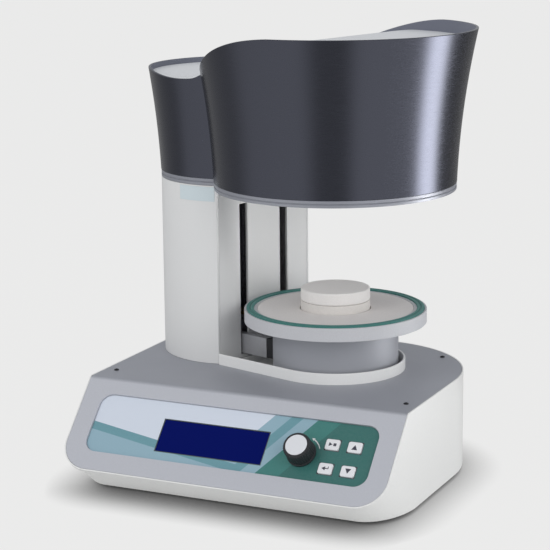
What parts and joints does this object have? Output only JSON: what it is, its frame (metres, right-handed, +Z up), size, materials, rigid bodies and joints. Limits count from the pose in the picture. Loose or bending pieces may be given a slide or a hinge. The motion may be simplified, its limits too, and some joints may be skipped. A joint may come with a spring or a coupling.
{
  "type": "dental porcelain furnace",
  "caption": "Bench-top dental porcelain furnace: motor lift raises a round firing table against a flared muffle head; sloping control panel with display, knob and keys.",
  "frame": {"origin": "on the surface the feet stand on, under the middle of the whole object's bounding box seen from above", "axes": "+X to the right and +Y to the rear as seen by a person in front of the sloping panel, +Z up"},
  "size_m": [0.4187, 0.3942, 0.5215],
  "materials": {
    "tub_white": "smooth white moulding",
    "cover_grey": "fine silver-grey paint",
    "slate": "brushed metal with a slate blue coat",
    "steel": "turned and brushed",
    "zinc_steel": "plain plated sheet",
    "aluminium": "brushed",
    "black_plastic": "fine texture",
    "white_plastic": "satin",
    "overlay_film": "printed film",
    "display_blue": "dark blue behind glass",
    "board_green": "lacquered board",
    "column_white": "smooth light paint",
    "seal_green": "moulded silicone",
    "rubber_black": "moulded rubber",
    "ceramic_fibre": "fine fibrous ceramic",
    "quartz": "clear quartz",
    "brass_metal": "machined",
    "copper_pipe": "drawn tube",
    "heater_wire": "oxidised resistance wire"
  },
  "bodies": {
    "base": {"base_housing": "tub_white", "base_plate": "zinc_steel", "feet": "rubber_black", "foot_screws": "steel", "base_frame": "zinc_steel", "top_cover": "cover_grey", "cover_screws": "steel", "panel_plate": "zinc_steel", "panel_overlay": "overlay_film", "display_glass": "display_blue", "display_module": "black_plastic", "control_board": "board_green", "encoder_body": "black_plastic", "lift_well": "tub_white", "column_shell": "column_white", "column_face": "column_white", "name_plate": "white_plastic", "column_frame": "zinc_steel", "guide_rods": "steel", "screw_bearings": "steel", "lift_motor": "black_plastic", "motor_posts": "steel", "trim_band": "aluminium", "head_plate": "zinc_steel", "head_cover": "slate", "head_lid": "white_plastic", "muffle_flange": "steel", "muffle_insulation": "ceramic_fibre", "muffle_can": "steel", "quartz_tube": "quartz", "heater_coil": "heater_wire", "thermocouple": "ceramic_fibre", "vacuum_pipe": "copper_pipe", "vacuum_valve": "brass_metal", "cooling_fan": "black_plastic", "power_supply": "zinc_steel", "mains_inlet": "black_plastic", "mains_fittings": "black_plastic"},
    "lift": {"carriage": "aluminium", "bushings": "steel", "screw_nut": "brass_metal", "lift_arms": "aluminium", "arm_spacers": "black_plastic", "lift_drum": "aluminium", "table_plate": "aluminium", "table_seal": "seal_green", "insulation_disc": "ceramic_fibre", "pedestal": "ceramic_fibre"},
    "tray": {"firing_tray": "ceramic_fibre"},
    "screw": {"lead_screw": "steel", "motor_coupling": "brass_metal"},
    "knob_body": {"knob": "black_plastic", "knob_cap": "aluminium", "encoder_shaft": "steel"},
    "key_start_body": {"key_start": "white_plastic"},
    "key_up_body": {"key_up": "white_plastic"},
    "key_back_body": {"key_back": "white_plastic"},
    "key_down_body": {"key_down": "white_plastic"},
    "rocker_body": {"rocker": "black_plastic"},
    "fan_body": {"fan_rotor": "black_plastic"}
  },
  "joints": [
    {"name": "lift_slide", "type": "slide", "parent": "base", "child": "lift", "axis": [0, 0, 1], "range_m": [0, 0.1415]},
    {"name": "screw_turn", "type": "hinge", "parent": "base", "child": "screw", "pos_m": [-0.0903, 0.076, 0.206], "axis": [0, 0, 1], "range_deg": [0, 6368.5]},
    {"name": "tray_lift_off", "type": "slide", "parent": "lift", "child": "tray", "axis": [0, 0, 1], "range_m": [0, 0.03]},
    {"name": "knob_turn", "type": "hinge", "parent": "base", "child": "knob_body", "pos_m": [0.08702, -0.16166, 0.07846], "axis": [0, -0.7254, 0.6884], "continuous": true},
    {"name": "press_key_start", "type": "slide", "parent": "base", "child": "key_start_body", "axis": [0, 0.7254, -0.6884], "range_m": [0, 0.0012], "stiffness_N_per_m": 400},
    {"name": "press_key_up", "type": "slide", "parent": "base", "child": "key_up_body", "axis": [0, 0.7254, -0.6884], "range_m": [0, 0.0012], "stiffness_N_per_m": 400},
    {"name": "press_key_back", "type": "slide", "parent": "base", "child": "key_back_body", "axis": [0, 0.7254, -0.6884], "range_m": [0, 0.0012], "stiffness_N_per_m": 400},
    {"name": "press_key_down", "type": "slide", "parent": "base", "child": "key_down_body", "axis": [0, 0.7254, -0.6884], "range_m": [0, 0.0012], "stiffness_N_per_m": 400},
    {"name": "rocker_tilt", "type": "hinge", "parent": "base", "child": "rocker_body", "pos_m": [-0.06548, 0.17113, 0.068], "axis": [0, 0, -1], "range_deg": [0, 20]},
    {"name": "fan_spin", "type": "hinge", "parent": "base", "child": "fan_body", "pos_m": [0.03452, 0.16213, 0.066], "axis": [0, -1, 0], "continuous": true}
  ],
  "couplings": [
    {"joint": "screw_turn", "follows": "lift_slide", "rad_per_m": 785.4}
  ]
}
